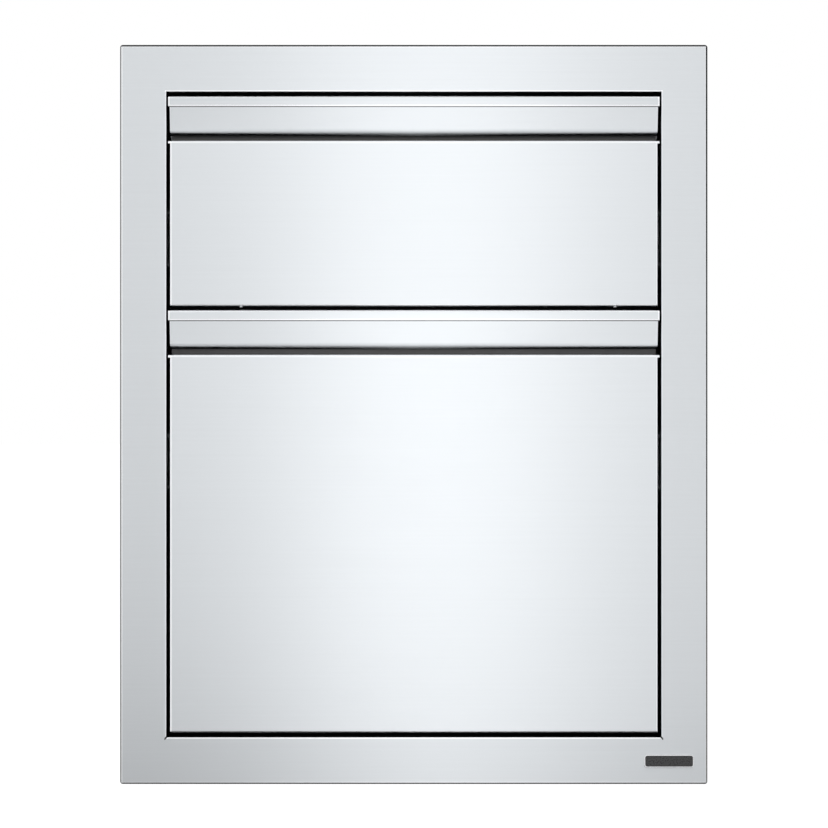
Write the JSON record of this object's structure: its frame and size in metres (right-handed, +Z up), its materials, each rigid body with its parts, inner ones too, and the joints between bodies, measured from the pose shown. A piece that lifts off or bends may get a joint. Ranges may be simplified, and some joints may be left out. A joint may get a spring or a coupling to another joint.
{
  "type": "trash drawer",
  "caption": "Built-in stainless trash drawer: flanged face frame, a shallow towel drawer over a tall waste drawer with a lift-out bin, full-width scoop pulls and telescopic ball slides.",
  "frame": {"origin": "middle of the wall cut-out, on the face of the wall that the flange bears on", "axes": "+X to the right of someone facing the fronts, +Y into the wall, +Z up"},
  "size_m": [0.495, 0.532, 0.623],
  "materials": {
    "brushed_stainless": "fine horizontal brush",
    "plain_stainless": "dull mill finish",
    "dark_coat": "satin dark coat",
    "zinc_steel": "bright zinc plate",
    "cage_steel": "stamped strip",
    "polished_rod": "polished",
    "bin_plastic": "fine moulded grain",
    "rubber": "matt"
  },
  "bodies": {
    "housing": {"face_frame": "brushed_stainless", "housing_top": "plain_stainless", "housing_bottom": "plain_stainless", "housing_back": "plain_stainless", "divider_rail": "dark_coat", "housing_left_side": "plain_stainless", "housing_right_side": "plain_stainless", "upper_left_slide_outer": "zinc_steel", "upper_right_slide_outer": "zinc_steel", "lower_left_slide_outer": "zinc_steel", "lower_right_slide_outer": "zinc_steel"},
    "upper_drawer": {"upper_front_panel": "brushed_stainless", "upper_pull": "brushed_stainless", "upper_front_liner": "dark_coat", "upper_bumpers": "rubber", "tray_bottom": "plain_stainless", "tray_back": "plain_stainless", "tray_left_side": "plain_stainless", "tray_right_side": "plain_stainless", "left_rod_bracket": "plain_stainless", "right_rod_bracket": "plain_stainless", "upper_left_slide_inner": "zinc_steel", "upper_right_slide_inner": "zinc_steel"},
    "towel_rod": {"towel_rod": "polished_rod"},
    "lower_drawer": {"lower_front_panel": "brushed_stainless", "lower_pull": "brushed_stainless", "lower_front_liner": "dark_coat", "lower_bumpers": "rubber", "carriage_back": "plain_stainless", "bin_ring": "plain_stainless", "waste_bin": "bin_plastic", "carriage_left_side": "plain_stainless", "carriage_right_side": "plain_stainless", "lower_left_slide_inner": "zinc_steel", "lower_right_slide_inner": "zinc_steel"},
    "upper_slide_middles": {"upper_left_slide_middle": "zinc_steel", "upper_right_slide_middle": "zinc_steel"},
    "upper_outer_cages": {"upper_left_outer_cage": "cage_steel", "upper_right_outer_cage": "cage_steel"},
    "upper_inner_cages": {"upper_left_inner_cage": "cage_steel", "upper_right_inner_cage": "cage_steel"},
    "lower_slide_middles": {"lower_left_slide_middle": "zinc_steel", "lower_right_slide_middle": "zinc_steel"},
    "lower_outer_cages": {"lower_left_outer_cage": "cage_steel", "lower_right_outer_cage": "cage_steel"},
    "lower_inner_cages": {"lower_left_inner_cage": "cage_steel", "lower_right_inner_cage": "cage_steel"}
  },
  "joints": [
    {"name": "upper_drawer_slide", "type": "slide", "parent": "housing", "child": "upper_drawer", "axis": [0, -1, 0], "range_m": [0, 0.45]},
    {"name": "upper_slide_middles_slide", "type": "slide", "parent": "housing", "child": "upper_slide_middles", "axis": [0, -1, 0], "range_m": [0, 0.225]},
    {"name": "upper_outer_cages_slide", "type": "slide", "parent": "housing", "child": "upper_outer_cages", "axis": [0, -1, 0], "range_m": [0, 0.1125]},
    {"name": "upper_inner_cages_slide", "type": "slide", "parent": "housing", "child": "upper_inner_cages", "axis": [0, -1, 0], "range_m": [0, 0.3375]},
    {"name": "lower_drawer_slide", "type": "slide", "parent": "housing", "child": "lower_drawer", "axis": [0, -1, 0], "range_m": [0, 0.45]},
    {"name": "lower_slide_middles_slide", "type": "slide", "parent": "housing", "child": "lower_slide_middles", "axis": [0, -1, 0], "range_m": [0, 0.225]},
    {"name": "lower_outer_cages_slide", "type": "slide", "parent": "housing", "child": "lower_outer_cages", "axis": [0, -1, 0], "range_m": [0, 0.1125]},
    {"name": "lower_inner_cages_slide", "type": "slide", "parent": "housing", "child": "lower_inner_cages", "axis": [0, -1, 0], "range_m": [0, 0.3375]},
    {"name": "towel_rod_spin", "type": "hinge", "parent": "upper_drawer", "child": "towel_rod", "pos_m": [0, 0.12, 0.178], "axis": [1, 0, 0], "continuous": true}
  ],
  "couplings": [
    {"joint": "upper_slide_middles_slide", "follows": "upper_drawer_slide", "ratio": 0.5},
    {"joint": "upper_outer_cages_slide", "follows": "upper_drawer_slide", "ratio": 0.25},
    {"joint": "upper_inner_cages_slide", "follows": "upper_drawer_slide", "ratio": 0.75},
    {"joint": "lower_slide_middles_slide", "follows": "lower_drawer_slide", "ratio": 0.5},
    {"joint": "lower_outer_cages_slide", "follows": "lower_drawer_slide", "ratio": 0.25},
    {"joint": "lower_inner_cages_slide", "follows": "lower_drawer_slide", "ratio": 0.75}
  ]
}
